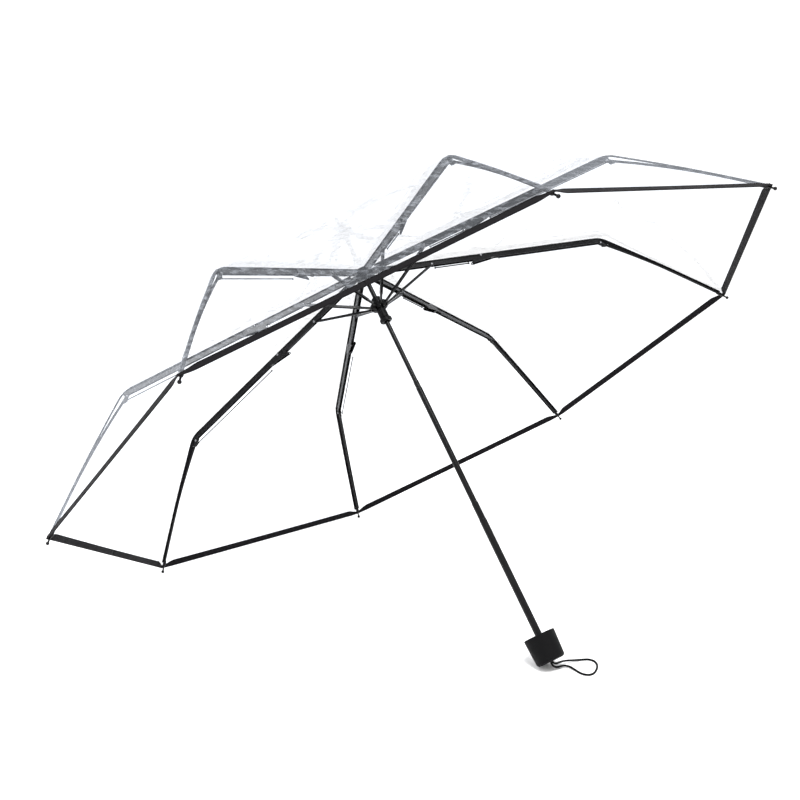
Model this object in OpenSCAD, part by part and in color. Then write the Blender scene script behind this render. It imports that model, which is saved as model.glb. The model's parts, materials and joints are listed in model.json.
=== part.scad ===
// Clear eight-panel folding umbrella, open and lying on its handle and two rib tips.
// It is drawn upright on its shaft axis first: Z = 0 at the top face of the handle, +Z to the crown.
// lie() then leans it over, so that +Z is up from the floor and Z = 0 is the floor.

/* [Shaft] */
// Outer diameter of the lower tube, which is fixed in the handle
lower_d = 9.0; // [8.8:0.05:9.1]
// Outer diameter of the middle tube
middle_d = 7.5; // [7.4:0.05:7.54]
// Outer diameter of the upper tube, which carries the crown
upper_d = 6.0; // [5.9:0.05:6.04]
// Height of the lower tube's open end over the handle
lower_top = 174; // [172:1:180]
// Height of the middle tube's open end over the handle
middle_top = 346; // [344:1:350]

/* [Handle] */
// Radius of the handle at its top edge
handle_r = 19.5; // [18.5:0.5:22]
// Radius of the handle at its bottom
handle_foot_r = 18; // [17:0.5:20]
// Height of the handle
handle_h = 33.6; // [32:0.2:40]
// Radius of the handle's rounded bottom edge
handle_round = 4; // [3:0.5:6]
// Diameter of the wrist cord
cord_d = 2.5; // [2:0.1:2.6]

/* [Arms] */
// Height of the crown's hinge ring over the handle
hinge_z = 506; // [500:1:512]
// Angle of the top and middle ribs below level
droop = 9.74; // [9:0.1:11]
// Length of the top rib between its pivots
top_len = 155; // [152:1:158]
// Length of the middle rib between its pivots
mid_len = 180; // [175:1:185]
// Angle of the outer rib below level
outer_droop = 44.2; // [43:0.1:46]
// Length of the outer rib from the knee to its end
outer_len = 186; // [180:1:190]
// Rise of the outer rib's bow over its straight line
outer_bow = 4; // [2:0.5:6]

/* [Canopy] */
// Thickness of the clear film
film_t = 0.2; // [0.15:0.05:0.4]
// Width of the black binding tape on the hem
tape_w = 8; // [6:0.5:10]

/* [Hidden] */
arms = 8;
step = 360 / arms;
first = step / 2;
gap = 0.3;
fit = 0.07;
wall = 0.55;

// Handle: depth of the tube's socket, and the end plug in the handle's foot
socket_h = 28;
plug_r = 8.9;
plug_h = 3.6;

// Heights along the shaft: the hidden feet of the tubes, their necks, and the catch
middle_foot = 140;
upper_foot = 318;
upper_top = 508;
lower_neck_h = 22;
middle_neck_h = 9;
neck_wall = 0.35;
catch_z = 425;
catch_h = 7;

// Crown and runner: heights of the hubs, and the depth of their slots
crown_foot = 494;
crown_top = 510;
crown_r = 12;
cap_r = 12;
cap_h = 4.4;
post_r = 4;
runner_foot = 434;
runner_top = 470;
hub_wire_at = 7.3;
hub_wire_r = 0.6;
slot_depth = 6;

// Pivots of one arm, along the rib (x) and above its middle line (y)
hinge_r = 10.5;
lock_x = 84;
lock_y = -0.4;
elbow_y = 2.4;
knee_y = -3;
hub_z = 458;

// A point of the rib's own frame, as [distance from the shaft, height]
function on_arm(x, y) = [
    hinge_r + x * cos(droop) + y * sin(droop),
    hinge_z - x * sin(droop) + y * cos(droop)
];
lock_at = on_arm(lock_x, lock_y);
strut_r = hinge_r + lock_y;
strut_len = norm([lock_at[0] - strut_r, lock_at[1] - hub_z]);
strut_rise = atan2(lock_at[1] - hub_z, lock_at[0] - strut_r);
knee_x = top_len + mid_len;
knee_at = on_arm(knee_x, knee_y);

// Bow of the outer rib as an arc, and the ball at its tip
bow_r = (pow(outer_len / 2, 2) + pow(outer_bow, 2)) / (2 * outer_bow);
bow_half = asin(outer_len / 2 / bow_r);
peg_len = 9;
ball_r = 2.1;
tip_x = outer_len + peg_len * cos(bow_half);
tip_y = -peg_len * sin(bow_half);
function on_outer(x, y) = [
    knee_at[0] + x * cos(outer_droop) + y * sin(outer_droop),
    knee_at[1] - x * sin(outer_droop) + y * cos(outer_droop)
];
tip_at = on_outer(tip_x, tip_y);

// The floor touches the handle's rounded edge and the balls of the two tips beside -X
edge_at = [-(handle_foot_r - handle_round), -handle_h + handle_round];
run = edge_at[0] + tip_at[0] * cos(first);
rise = edge_at[1] - tip_at[1];
tilt = asin((handle_round - ball_r) / norm([run, rise])) - atan2(rise, run);
lift = handle_round - edge_at[0] * sin(tilt) - edge_at[1] * cos(tilt);
shift = tip_at[1] * sin(tilt);

// Sections of the ribs: half widths across, and heights from the middle line
top_half = 2.8;
top_low = -2.6;
top_high = 2.4;
mid_half = 2.5;
mid_low = -2.4;
mid_high = 2.1;
sheet = 0.7;
strut_half = 1.7;
outer_half = 1.6;
strut_deep = 1.5;
pin_r = 0.9;
eye_r = pin_r + fit;
wire_r = 0.8;
knee_pin_r = 0.8;
ear_r = 1.9;
cheek_in = top_half + gap;
cheek_out = cheek_in + 0.6;
blade_len = 18;
blade_half = 1.2;
slot_half = blade_half + gap;

// Heights of the film's underside over the ribs, and the rings it is stretched on
film_y = 4.7;
film_in = 4.6;
film_slope = tan(droop);
function film_over(r) = hinge_z + film_y / cos(droop) - (r - hinge_r) * film_slope;
bend_at = on_arm(knee_x + 2.5, film_y);
bow_at = on_outer(outer_len / 2, outer_bow + 3.2);
hem_at = on_outer(outer_len + 4, 3.4);
tape_in = [-0.5, -0.4];
tape_t = 1.3;
function up_hem(d) = hem_at + (bow_at - hem_at) * (d / norm(bow_at - hem_at));

// The wrist cord's route on the floor, from the plug's hole round the loop and back
cord_route = [
    [212.5, 1.4, 11.6], [214.6, 1.5, 9], [216.2, 3.2, 7], [216.6, 7, 6], [216.4, 12, 5.6], [216.6, 18, 5],
    [217.8, 25, 4], [219.8, 32, 2.8], [222.5, 39, 1.9], [225.3, 45.5, 1.4], [229.2, 50.6, 1.3],
    [235.6, 52.2, 1.3], [242.6, 48.8, 1.3], [248.6, 42, 1.3], [253, 34, 1.3], [255.6, 26.2, 1.3],
    [254.2, 19.2, 1.3], [248.4, 15.6, 1.3], [241.2, 16, 1.3], [234.2, 17.2, 1.6], [228, 17.2, 2.3],
    [223.2, 14.2, 2.9], [221.2, 9.4, 3.2], [220.4, 4.6, 3.4], [219, 0.8, 4.4], [216.9, -1.2, 6.3],
    [214.6, -1.4, 9], [212.5, -1.4, 11.6]
];

$fn = 48;

// Placing

module lie() translate([shift, 0, lift]) rotate([0, -tilt, 0]) children();

module arm(i) lie() rotate([0, 0, first + step * (i - 1)]) children();

module rib_frame() translate([hinge_r, 0, hinge_z]) rotate([0, droop, 0]) children();

module outer_frame() translate([knee_at[0], 0, knee_at[1]]) rotate([0, outer_droop, 0]) children();

// A flat outline in x and y, made into a plate between two places across the rib
module plate(from, to) rotate([90, 0, 0]) translate([0, 0, -to]) linear_extrude(to - from) children();

// A pair of equal plates, one on each side of the rib
module cheeks(inner, outer) for (side = [-1, 1])
    plate(min(side * inner, side * outer), max(side * inner, side * outer)) children();

// A round pin across the rib
module cross_pin(x, y, r, from, to) translate([x, to, y]) rotate([90, 0, 0]) cylinder(r = r, h = to - from);

// A pin with a head at each end
module rivet(x, y, r, half, head_r, head_h) {
    cross_pin(x, y, r, -half, half);
    cross_pin(x, y, head_r, half - 0.01, half + head_h);
    cross_pin(x, y, head_r, -half - head_h, -half + 0.01);
}

// A channel of bent sheet, open below
module channel(x0, x1, low, high, half) difference() {
    plate(-half, half) translate([x0, low]) square([x1 - x0, high - low]);
    plate(-half + sheet, half - sheet)
        translate([x0 - 1, low - 1]) square([x1 - x0 + 2, high - low + 1 - sheet]);
}

// Shaft and handle

function round_corner(cx, cy, r, a0, a1, n) = [
    for (k = [0:n]) [cx + r * cos(a0 + (a1 - a0) * k / n), cy + r * sin(a0 + (a1 - a0) * k / n)]
];

module handle() lie() color([0.06, 0.06, 0.07]) difference() {
    rotate_extrude() polygon(concat(
        [[0, -handle_h]],
        round_corner(handle_foot_r - handle_round, -handle_h + handle_round, handle_round, -90, 0, 8),
        [[handle_r, -0.8], [handle_r - 0.8, 0], [0, 0]]
    ));
    translate([0, 0, -socket_h - 0.5]) cylinder(d = lower_d + 2 * fit, h = socket_h + 10);
    translate([0, 0, -handle_h - 1]) cylinder(r = plug_r + 0.1, h = plug_h + 1.5);
}

module end_plug() lie() color([0.05, 0.05, 0.05]) difference() {
    translate([0, 0, -handle_h + 0.4]) cylinder(r = plug_r, h = plug_h);
    translate([0, 0, -handle_h - 1]) cylinder(r = cord_d + 0.4, h = plug_h + 4);
}

// A tube with a narrowed neck at its open top and a wider foot that the next tube's neck stops
module tube(outer, inner, bottom, top, neck_d, neck_in, neck_h, foot_d) difference() {
    rotate_extrude() polygon([
        [0, bottom], [foot_d / 2, bottom], [foot_d / 2, bottom + 6], [outer / 2, bottom + 8],
        [outer / 2, top - neck_h - 1], [neck_d / 2, top - neck_h], [neck_d / 2, top - 0.3],
        [neck_d / 2 - 0.3, top], [0, top]
    ]);
    rotate_extrude() polygon([
        [0, bottom - 1], [inner / 2, bottom - 1], [inner / 2, top - neck_h - 1],
        [neck_in / 2, top - neck_h], [neck_in / 2, top + 1], [0, top + 1]
    ]);
}

module lower_tube() lie() color([0.07, 0.07, 0.08]) {
    neck = middle_d + 2 * fit;
    bore = lower_d - 2 * wall;
    tube(lower_d, bore, -socket_h, lower_top, neck + 2 * neck_wall, neck, lower_neck_h, lower_d);
}

module middle_tube() lie() color([0.07, 0.07, 0.08]) {
    neck = upper_d + 2 * fit;
    bore = middle_d - 2 * wall;
    foot = lower_d - 2 * wall - 2 * fit;
    tube(middle_d, bore, middle_foot, middle_top, neck + 2 * neck_wall, neck, middle_neck_h, foot);
}

module upper_tube() lie() color([0.07, 0.07, 0.08]) {
    bore = upper_d - 2 * wall;
    foot = middle_d - 2 * wall - 2 * fit;
    difference() {
        tube(upper_d, bore, upper_foot, upper_top, upper_d, bore, 2, foot);
        translate([upper_d / 2 - 1, -0.8, catch_z - 1]) cube([2, 1.6, catch_h + 2]);
    }
    // The leaf spring of the catch, lying in its window
    translate([upper_d / 2 - wall - 0.5, -0.6, catch_z - 5]) cube([0.45, 1.2, catch_h + 9]);
    translate([upper_d / 2 - wall - 0.2, -0.6, catch_z]) cube([0.55, 1.2, catch_h]);
}

module crown() lie() color([0.05, 0.05, 0.06]) difference() {
    rotate_extrude() polygon([
        [0, crown_foot], [6, crown_foot], [6.5, crown_foot + 0.5], [6.5, crown_foot + 6.5],
        [crown_r - 0.5, crown_foot + 6.5], [crown_r, crown_foot + 7], [crown_r, crown_top - 0.5],
        [crown_r - 0.5, crown_top], [0, crown_top]
    ]);
    translate([0, 0, crown_foot - 1]) cylinder(d = upper_d + 0.04, h = upper_top - crown_foot + 1.02);
    for (i = [1:arms]) rotate([0, 0, first + step * (i - 1)])
        translate([7.6, -slot_half, crown_foot + 5]) cube([slot_depth, 2 * slot_half, 9.8]);
    rotate_extrude() translate([hinge_r, hinge_z]) circle(r = wire_r + 0.06);
}

module crown_wire() lie() color([0.6, 0.6, 0.62])
    rotate_extrude() translate([hinge_r, hinge_z]) circle(r = wire_r);

module ferrule_cap() lie() translate([0, 0, crown_top]) color([0.05, 0.05, 0.06])
    rotate_extrude() polygon(concat(
        [[0, 0], [4, 0], [4, 2.5], [cap_r - 0.5, 1.2]],
        round_corner(cap_r - 0.8, 2, 0.8, -60, 60, 6),
        [[post_r + 0.8, cap_h - 0.6], [post_r, cap_h], [0, cap_h + 0.3]]
    ));

module runner() lie() color([0.05, 0.05, 0.06]) {
    difference() {
        rotate_extrude() polygon([
            [4.8, runner_foot], [6.6, runner_foot], [8, runner_foot + 1], [8, runner_foot + 4.5],
            [6.2, runner_foot + 6.5], [6, hub_z - 4.5], [9.5, hub_z - 4.5], [11.5, hub_z - 3],
            [11.5, hub_z + 3.5], [11, hub_z + 4], [6, hub_z + 4.4], [6, runner_top - 0.6],
            [5.6, runner_top], [4.8, runner_top]
        ]);
        for (i = [1:arms]) rotate([0, 0, first + step * (i - 1)])
            translate([6.4, -slot_half, hub_z - 5.5]) cube([slot_depth, 2 * slot_half, 11]);
        rotate_extrude() translate([hub_wire_at, hub_z]) circle(r = hub_wire_r + 0.06);
    }
    rotate_extrude() translate([hub_wire_at, hub_z]) circle(r = hub_wire_r);
}

// One arm

module top_rib(i) arm(i) rib_frame() color([0.08, 0.08, 0.09]) {
    difference() {
        union() {
            plate(-blade_half, blade_half) {
                circle(r = 2.1);
                translate([0, -1.9]) square([blade_len, 3.8]);
            }
            channel(blade_len - 0.1, top_len - 1.6, top_low, top_high, top_half);
            plate(-top_half, top_half) translate([blade_len - 4, top_low]) square([4, top_high - top_low]);
            // The elbow's ears, with room between them for the folded strut
            cheeks(top_half - sheet, top_half) {
                translate([top_len - 8, top_low]) square([8.5, top_high - top_low]);
                translate([top_len, elbow_y]) circle(r = ear_r);
            }
            rivet(lock_x, lock_y, pin_r, top_half, 1.6, 0.5);
        }
        cross_pin(0, 0, wire_r + 0.15, -3, 3);
        cross_pin(top_len, elbow_y, eye_r, -4, 4);
    }
}

module strut(i) arm(i) translate([strut_r, 0, hub_z]) rotate([0, -strut_rise, 0]) color([0.09, 0.09, 0.1])
difference() {
    union() {
        plate(-blade_half, blade_half) {
            circle(r = strut_deep);
            translate([0, -strut_deep + 0.1]) square([blade_len, 2 * strut_deep - 0.2]);
        }
        channel(blade_len - 0.1, strut_len - 6, -strut_deep, strut_deep, strut_half);
        plate(-strut_half, strut_half) {
            translate([blade_len - 3, -strut_deep]) square([3, 2 * strut_deep]);
            translate([strut_len - 6.1, -strut_deep]) square([6.1, 2 * strut_deep]);
            translate([strut_len, 0]) circle(r = strut_deep);
        }
    }
    cross_pin(strut_len, 0, eye_r, -3, 3);
}

module mid_rib(i) arm(i) rib_frame() color([0.08, 0.08, 0.09]) {
    // Cheeks that straddle the top rib, with the heel for the tie rod
    cheeks(cheek_in, cheek_out) difference() {
        union() {
            polygon([
                [top_len - 14, -7], [top_len - 11.6, -7.2], [top_len + 17, mid_low], [top_len + 17, mid_high],
                [top_len + 2, elbow_y + 1.6], [top_len - 1.4, elbow_y + 1.3], [top_len - 14.6, -4.4]
            ]);
            translate([top_len, elbow_y]) circle(r = ear_r);
            translate([top_len - 13, -5.6]) circle(r = 1.8);
        }
        translate([top_len - 13, -5.6]) circle(r = 0.8);
    }
    rivet(top_len, elbow_y, pin_r, cheek_out, 1.4, 0.4);
    plate(-cheek_out, cheek_out) translate([top_len + 14, mid_low]) square([4, mid_high - mid_low]);
    channel(top_len + 17.9, knee_x - 4, mid_low, mid_high, mid_half);
    // The knee: two ears, under a web that is bent down to stop the outer rib
    cheeks(mid_half - sheet, mid_half) {
        polygon([
            [knee_x - 4.1, mid_low], [knee_x - 1.6, knee_y - 1.2], [knee_x + 2, knee_y],
            [knee_x + 1.6, 1.2], [knee_x - 1, mid_high], [knee_x - 4.1, mid_high]
        ]);
        translate([knee_x, knee_y]) circle(r = 2);
    }
    plate(-mid_half, mid_half) polygon([
        [knee_x - 4.1, mid_high - sheet], [knee_x - 1, mid_high - sheet], [knee_x + 1.2, 0.9],
        [knee_x + 1.6, 1.2], [knee_x - 1, mid_high], [knee_x - 4.1, mid_high]
    ]);
    rivet(knee_x, knee_y, knee_pin_r, mid_half, 1.3, 0.4);
}

module outer_rib(i) arm(i) outer_frame() color([0.08, 0.08, 0.09]) {
    heel = [4.5, -2.1];
    difference() {
        union() {
            plate(-outer_half, outer_half) {
                circle(r = 1.9);
                translate(heel) circle(r = 1.4);
                polygon([[0, 1.9], [9, 2], [9, -1.4], [5.6, -2.9], [4, -3.4], [-1.4, -1.3]]);
            }
            translate([outer_len / 2, 0, outer_bow - bow_r]) rotate([90, 0, 0]) rotate([0, 0, 90 - bow_half])
                rotate_extrude(angle = 2 * bow_half - 0.25, $fn = 360) translate([bow_r, 0]) circle(r = 1.5);
        }
        cross_pin(0, 0, knee_pin_r + fit, -3, 3);
        cross_pin(heel[0], heel[1], 0.6, -3, 3);
    }
    // The tip: a sleeve on the rib's end, with a peg and a ball
    translate([outer_len, 0, 0]) rotate([0, bow_half, 0]) rotate([0, 90, 0]) color([0.7, 0.7, 0.72])
        rotate_extrude() polygon(concat(
            [[0, 0.4], [1.58, 0.4], [1.58, -7], [2.2, -7], [2.3, -6.6], [2.3, -0.6], [1.9, 0.8], [1.1, 1.4]],
            [[1.1, peg_len - 1.6]],
            round_corner(0, peg_len, ball_r, -48, 90, 8)
        ));
}

module tie_rod(i) arm(i) rib_frame() color([0.3, 0.3, 0.32]) {
    from = lock_x + 5;
    to = top_len - 18;
    translate([from, 3, -4.2]) rotate([0, 90, 0]) cylinder(r = 0.8, h = to - from);
    for (x = [from, to]) cross_pin(x, -4.2, 1.25, 2.4, 3.6);
}

module knee_wire(i) arm(i) rib_frame() color([0.3, 0.3, 0.32]) {
    from = top_len + 24;
    to = knee_x + 1.5;
    translate([from, -3.7, -5.6]) rotate([0, 90, 0]) cylinder(r = 0.7, h = to - from);
    for (x = [from, to]) cross_pin(x, -5.6, 1.2, -4.3, -3.2);
}

// Canopy and cord

// Corner k of a ring round the shaft, at [distance, height]
function corner(at, k) = let (a = first + step * k) [at[0] * cos(a), at[0] * sin(a), at[1]];

// A skin over rings of corners, from the middle out, as thick as t
module skin(rings, t) {
    n = len(rings);
    points = concat(
        [for (ring = rings) for (k = [0:arms - 1]) corner(ring, k)],
        [for (ring = rings) for (k = [0:arms - 1]) corner(ring + [0, t], k)]
    );
    under = function (r, k) r * arms + k % arms;
    over = function (r, k) (n + r) * arms + k % arms;
    polyhedron(points, concat(
        [for (r = [0:n - 2]) for (k = [0:arms - 1])
            [under(r, k), under(r, k + 1), under(r + 1, k + 1), under(r + 1, k)]],
        [for (r = [0:n - 2]) for (k = [0:arms - 1])
            [over(r, k), over(r + 1, k), over(r + 1, k + 1), over(r, k + 1)]],
        [for (k = [0:arms - 1]) [under(0, k), over(0, k), over(0, k + 1), under(0, k + 1)]],
        [for (k = [0:arms - 1]) [under(n - 1, k), under(n - 1, k + 1), over(n - 1, k + 1), over(n - 1, k)]]
    ));
}

// A cord swept along a route, with eight sides and a ring at each of the route's points
module swept(route, r) {
    sides = 8;
    n = len(route);
    ahead = [for (k = [0:n - 1]) route[min(k + 1, n - 1)] - route[max(k - 1, 0)]];
    unit = function (v) v / norm(v);
    points = [
        for (k = [0:n - 1])
            let (side = unit(cross(ahead[k], [0, 0, 1])), up = unit(cross(side, ahead[k])))
            for (j = [0:sides - 1])
                route[k] + r * cos(j * 360 / sides) * side + r * sin(j * 360 / sides) * up
    ];
    at = function (k, j) k * sides + j % sides;
    polyhedron(points, concat(
        [[for (j = [sides - 1:-1:0]) at(0, j)], [for (j = [0:sides - 1]) at(n - 1, j)]],
        [for (k = [0:n - 2]) for (j = [0:sides - 1]) [at(k, j), at(k, j + 1), at(k + 1, j + 1), at(k + 1, j)]]
    ));
}

module wrist_cord() color([0.04, 0.04, 0.05]) swept(cord_route, cord_d / 2);

module canopy_film() lie() color([0.85, 0.9, 0.95, 0.35])
    skin([[film_in, film_over(film_in)], bend_at, bow_at, up_hem(tape_w + 0.8)], film_t / cos(droop));

module hem_tape() lie() color([0.05, 0.05, 0.06])
    skin([up_hem(tape_w) + tape_in, hem_at + tape_in], tape_t);

handle();
end_plug();
wrist_cord();
lower_tube();
middle_tube();
upper_tube();
crown();
crown_wire();
ferrule_cap();
runner();
canopy_film();
hem_tape();
for (i = [1:arms]) {
    top_rib(i);
    strut(i);
    mid_rib(i);
    outer_rib(i);
    tie_rod(i);
    knee_wire(i);
}
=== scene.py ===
import json
import math

import bmesh
import bpy
from mathutils import Matrix, Vector


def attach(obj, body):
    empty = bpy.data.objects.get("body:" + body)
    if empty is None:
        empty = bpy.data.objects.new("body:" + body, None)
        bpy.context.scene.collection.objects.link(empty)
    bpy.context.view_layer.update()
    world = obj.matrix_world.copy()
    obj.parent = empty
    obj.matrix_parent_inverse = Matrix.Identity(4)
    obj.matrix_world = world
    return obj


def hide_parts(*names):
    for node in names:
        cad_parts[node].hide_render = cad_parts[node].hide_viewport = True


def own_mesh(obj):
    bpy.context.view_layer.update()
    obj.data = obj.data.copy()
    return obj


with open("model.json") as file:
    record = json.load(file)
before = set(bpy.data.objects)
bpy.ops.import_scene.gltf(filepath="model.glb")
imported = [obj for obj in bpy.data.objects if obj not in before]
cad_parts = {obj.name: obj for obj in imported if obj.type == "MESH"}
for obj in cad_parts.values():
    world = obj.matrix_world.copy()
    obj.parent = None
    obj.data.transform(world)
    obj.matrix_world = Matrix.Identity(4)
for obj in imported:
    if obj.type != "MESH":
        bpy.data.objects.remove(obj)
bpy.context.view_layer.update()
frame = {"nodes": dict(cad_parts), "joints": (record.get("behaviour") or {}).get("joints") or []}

joints = {j["name"]: j for j in frame["joints"]}
arms = 8
halfStep = math.pi / arms


def jointPoint(name):
    return Vector(joints[name]["pos_m"])


def jointAxis(name):
    return Vector(joints[name]["axis"])


# The shaft leans, so every soft piece is made upright on the shaft and then laid down by these matrices
shaftUp = jointAxis("upper_section_slide").normalized()
hingeNames = ["canopy_fold"] + [f"top_rib_{i}_hinge" for i in range(2, arms + 1)]
hingeMiddle = sum((jointPoint(n) for n in hingeNames), Vector()) / arms


def armMatrix(i):
    # local X out along the arm, Y across it, Z up the shaft, zero at the hinge ring's middle
    across = jointAxis(hingeNames[i - 1]).normalized()
    out = across.cross(shaftUp)
    m = Matrix((out, across, shaftUp)).transposed().to_4x4()
    m.translation = hingeMiddle
    return m


armPlaces = {i: armMatrix(i) for i in range(1, arms + 1)}


def inArm(i, point):
    # a row point as (distance from the shaft, across, height over the hinge ring)
    return armPlaces[i].inverted() @ Vector(point)


print("placed eight arms")

shot = {
    "azimuth": 47.22,  # degrees, 0 looks along +Y
    "elevation": 12.87,
    "roll": 0.55,
    "distance": 1.387,
    "aim": (-0.022, -0.027, 0.286),
    "lens": 49.93,  # mm on a 36 mm sensor
}


def makeCamera():
    a, e = math.radians(shot["azimuth"]), math.radians(shot["elevation"])
    back = Vector((math.sin(a) * math.cos(e), -math.cos(a) * math.cos(e), math.sin(e)))
    data = bpy.data.cameras.new("camera")
    data.lens, data.sensor_width = shot["lens"], 36
    data.clip_start, data.clip_end = 0.01, 50
    cam = bpy.data.objects.new("camera", data)
    turn = (-back).to_track_quat("-Z", "Y").to_matrix() @ Matrix.Rotation(math.radians(shot["roll"]), 3, "Z")
    cam.matrix_world = Matrix.Translation(Vector(shot["aim"]) + back * shot["distance"]) @ turn.to_4x4()
    bpy.context.scene.collection.objects.link(cam)
    bpy.context.scene.camera = cam


makeCamera()
print("camera set")


class Tree:
    # wraps a node tree, so that a sum reads as one line
    def __init__(self, tree):
        self.tree = tree

    def add(self, kind, **settings):
        node = self.tree.nodes.new(kind)
        for name, value in settings.items():
            setattr(node, name, value)
        return node

    def feed(self, socket, value):
        if isinstance(value, bpy.types.NodeSocket):
            self.tree.links.new(value, socket)
        else:
            socket.default_value = value

    def calc(self, operation, a, b=0.0, c=0.0):
        node = self.add("ShaderNodeMath", operation=operation)
        for socket, value in zip(node.inputs, (a, b, c)):
            self.feed(socket, value)
        return node.outputs[0]

    def vector(self, operation, a, b=(0, 0, 0)):
        node = self.add("ShaderNodeVectorMath", operation=operation)
        self.feed(node.inputs[0], a)
        if operation == "SCALE":
            self.feed(node.inputs["Scale"], b)
            return node.outputs[0]
        self.feed(node.inputs[1], b)
        return node.outputs["Value"] if operation in ("LENGTH", "DISTANCE") else node.outputs[0]

    def noise(self, place, scale, detail=2.0, roughness=0.5):
        node = self.add("ShaderNodeTexNoise")
        self.feed(node.inputs["Vector"], place)
        self.feed(node.inputs["Scale"], scale)
        node.inputs["Detail"].default_value = detail
        node.inputs["Roughness"].default_value = roughness
        return node.outputs[0]

    def rescale(self, value, low, high, newLow, newHigh):
        node = self.add("ShaderNodeMapRange")
        given = {"Value": value, "From Min": low, "From Max": high, "To Min": newLow, "To Max": newHigh}
        for name, v in given.items():
            self.feed(node.inputs[name], v)
        return node.outputs[0]


def geometryTree(name, inputs):
    tree = bpy.data.node_groups.new(name, "GeometryNodeTree")
    tree.interface.new_socket("Geometry", in_out="INPUT", socket_type="NodeSocketGeometry")
    for label, (kind, value) in inputs.items():
        socket = tree.interface.new_socket(label, in_out="INPUT", socket_type="NodeSocket" + kind)
        if value is not None:
            socket.default_value = value
    tree.interface.new_socket("Geometry", in_out="OUTPUT", socket_type="NodeSocketGeometry")
    t = Tree(tree)
    return t, t.add("NodeGroupInput"), t.add("NodeGroupOutput")


def setInputs(modifier, values):
    ids = {s.name: s.identifier for s in modifier.node_group.interface.items_tree if s.in_out == "INPUT"}
    for label, value in values.items():
        modifier[ids[label]] = value


def bake(source, tree, values, name):
    # runs a geometry tree on an object and keeps the result as a plain mesh at the origin
    modifier = source.modifiers.new("make", "NODES")
    modifier.node_group = tree
    setInputs(modifier, values)
    graph = bpy.context.evaluated_depsgraph_get()
    mesh = bpy.data.meshes.new_from_object(source.evaluated_get(graph), depsgraph=graph)
    source.modifiers.remove(modifier)
    mesh.name = name
    bpy.data.objects.remove(source)
    return mesh


def pathObject(points, name="path"):
    curve = bpy.data.curves.new(name, "CURVE")
    curve.dimensions = "3D"
    spline = curve.splines.new("POLY")
    spline.points.add(len(points) - 1)
    for p, co in zip(spline.points, points):
        p.co = (*co, 1)
    o = bpy.data.objects.new(name, curve)
    bpy.context.scene.collection.objects.link(o)
    return o


def pieceFrom(mesh, name, material=None):
    o = bpy.data.objects.new(name, mesh)
    bpy.context.scene.collection.objects.link(o)
    if material:
        mesh.materials.clear()
        mesh.materials.append(material)
    return o


def smoothCurve(points, perSpan):
    # Catmull-Rom through the points
    result = []
    last = len(points) - 1
    for k in range(last):
        p0, p1, p2, p3 = (Vector(points[min(max(j, 0), last)]) for j in (k - 1, k, k + 1, k + 2))
        for n in range(perSpan):
            u = n / perSpan
            result.append(0.5 * (2 * p1 + (p2 - p0) * u + (2 * p0 - 5 * p1 + 4 * p2 - p3) * u * u
                                 + (3 * p1 - p0 - 3 * p2 + p3) * u ** 3))
    return result + [Vector(points[last])]


def newMaterial(name):
    m = bpy.data.materials.new(name)
    m.use_nodes = True
    t = Tree(m.node_tree)
    shader = m.node_tree.nodes["Principled BSDF"]
    place = t.add("ShaderNodeTexCoord").outputs["Object"]
    return m, t, shader, place


def bump(t, shader, height, distance, strength=1.0):
    node = t.add("ShaderNodeBump")
    node.inputs["Distance"].default_value = distance
    node.inputs["Strength"].default_value = strength
    t.feed(node.inputs["Height"], height)
    t.feed(shader.inputs["Normal"], node.outputs[0])
    return node.outputs[0]


def blendColour(t, share, dark, light):
    node = t.add("ShaderNodeMix", data_type="RGBA")
    t.feed(node.inputs["Factor"], share)
    node.inputs["A"].default_value = (*dark, 1)
    node.inputs["B"].default_value = (*light, 1)
    return node.outputs["Result"]


enamel = {
    "dark": (0.0016, 0.0016, 0.0018),
    "light": (0.004, 0.004, 0.0045),
    "gloss": 0.16,
    "dull": 0.3,
    "shine": 0.16,
    "peel": 0.00005,
}


def blackEnamel(name, gloss=1.0):
    # sprayed enamel: slight orange peel, and duller in patches where it has been handled
    m, t, shader, place = newMaterial(name)
    patches = t.noise(place, 38, 4, 0.6)
    t.feed(shader.inputs["Base Color"], blendColour(t, patches, enamel["dark"], enamel["light"]))
    rough = t.rescale(patches, 0.3, 0.7, enamel["gloss"] * gloss, enamel["dull"] * gloss)
    t.feed(shader.inputs["Roughness"], rough)
    shader.inputs["Specular IOR Level"].default_value = enamel["shine"]
    bump(t, shader, t.noise(place, 900, 2, 0.5), enamel["peel"])
    return m


plastic = {"dark": (0.0016, 0.0016, 0.0018), "light": (0.004, 0.004, 0.0045), "rough": 0.5, "grain": 0.00012,
           "shine": 0.08}


def mouldedPlastic(name, rough=plastic["rough"], grain=plastic["grain"]):
    # fine spark-eroded grain, with faint wear from fingers
    m, t, shader, place = newMaterial(name)
    wear = t.noise(place, 55, 5, 0.65)
    t.feed(shader.inputs["Base Color"], blendColour(t, wear, plastic["dark"], plastic["light"]))
    t.feed(shader.inputs["Roughness"], t.rescale(wear, 0.3, 0.7, rough * 0.85, rough * 1.15))
    shader.inputs["Specular IOR Level"].default_value = plastic["shine"]
    bump(t, shader, t.noise(place, 2600, 3, 0.7), grain)
    return m


def bareMetal(name, colour, rough):
    # drawn or turned steel, with fine marks
    m, t, shader, place = newMaterial(name)
    marks = t.noise(place, 700, 3, 0.6)
    t.feed(shader.inputs["Base Color"], blendColour(t, marks, tuple(c * 0.75 for c in colour), colour))
    shader.inputs["Metallic"].default_value = 1.0
    t.feed(shader.inputs["Roughness"], t.rescale(marks, 0.3, 0.7, rough * 0.8, rough * 1.3))
    bump(t, shader, marks, 0.00003)
    return m


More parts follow.
